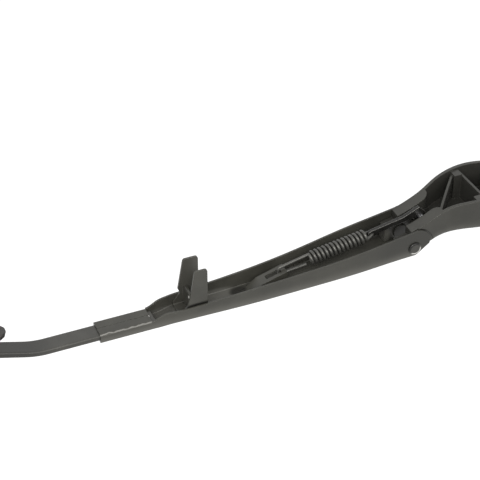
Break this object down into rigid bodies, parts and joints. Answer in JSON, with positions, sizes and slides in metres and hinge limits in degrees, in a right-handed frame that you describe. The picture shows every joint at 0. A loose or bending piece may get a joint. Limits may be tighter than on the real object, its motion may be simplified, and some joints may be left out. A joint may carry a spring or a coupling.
{
  "type": "windscreen wiper arm",
  "caption": "Sprung wiper arm: ribbed die-cast head on a hinge, tapering pressed channel with coil spring, folded sleeve and a flat rod ending in a bayonet hook for the blade.",
  "frame": {"origin": "on the spindle axis, at the small end of the head's taper seat, which is also the top of the stud hole", "axes": "+Z out of the seat towards the car, so the underside is up as in the picture; the arm reaches along -X to its hook; the hinge axis is along Y"},
  "size_m": [0.3732, 0.0428, 0.0453],
  "materials": {
    "head_paint": "satin black coat on a casting",
    "channel_paint": "satin black coat on sheet steel",
    "rod_paint": "satin black coat on steel bar",
    "guide_paint": "satin black coat on thin sheet",
    "rivet_steel": "black coat, peened head",
    "bush_bronze": "plain sintered bronze",
    "pin_steel": "plain ground",
    "link_steel": "dark phosphate",
    "spring_steel": "dark phosphate on wire"
  },
  "bodies": {
    "head": {"mounting_head": "head_paint", "hinge_bush_left": "bush_bronze", "hinge_bush_right": "bush_bronze", "link_pin": "pin_steel"},
    "arm": {"retainer_channel": "channel_paint", "wiper_rod": "rod_paint", "blade_guide": "guide_paint", "hinge_rivet_left": "rivet_steel", "hinge_rivet_right": "rivet_steel"},
    "link": {"spring_link": "link_steel", "tension_spring": "spring_steel"}
  },
  "joints": [
    {"name": "arm_hinge", "type": "hinge", "parent": "head", "child": "arm", "pos_m": [-0.066, 0, -0.0137], "axis": [0, -1, 0], "range_deg": [0, 55], "stiffness_Nm_per_rad": 0.25, "springref_deg": -143.24, "deforming": ["tension_spring"]},
    {"name": "link_pivot", "type": "hinge", "parent": "head", "child": "link", "pos_m": [-0.0567, 0, 0.0003], "axis": [0, -1, 0], "range_deg": [0, 46.7]}
  ],
  "couplings": [
    {"joint": "link_pivot", "follows": "arm_hinge", "ratio": 0.8495}
  ]
}
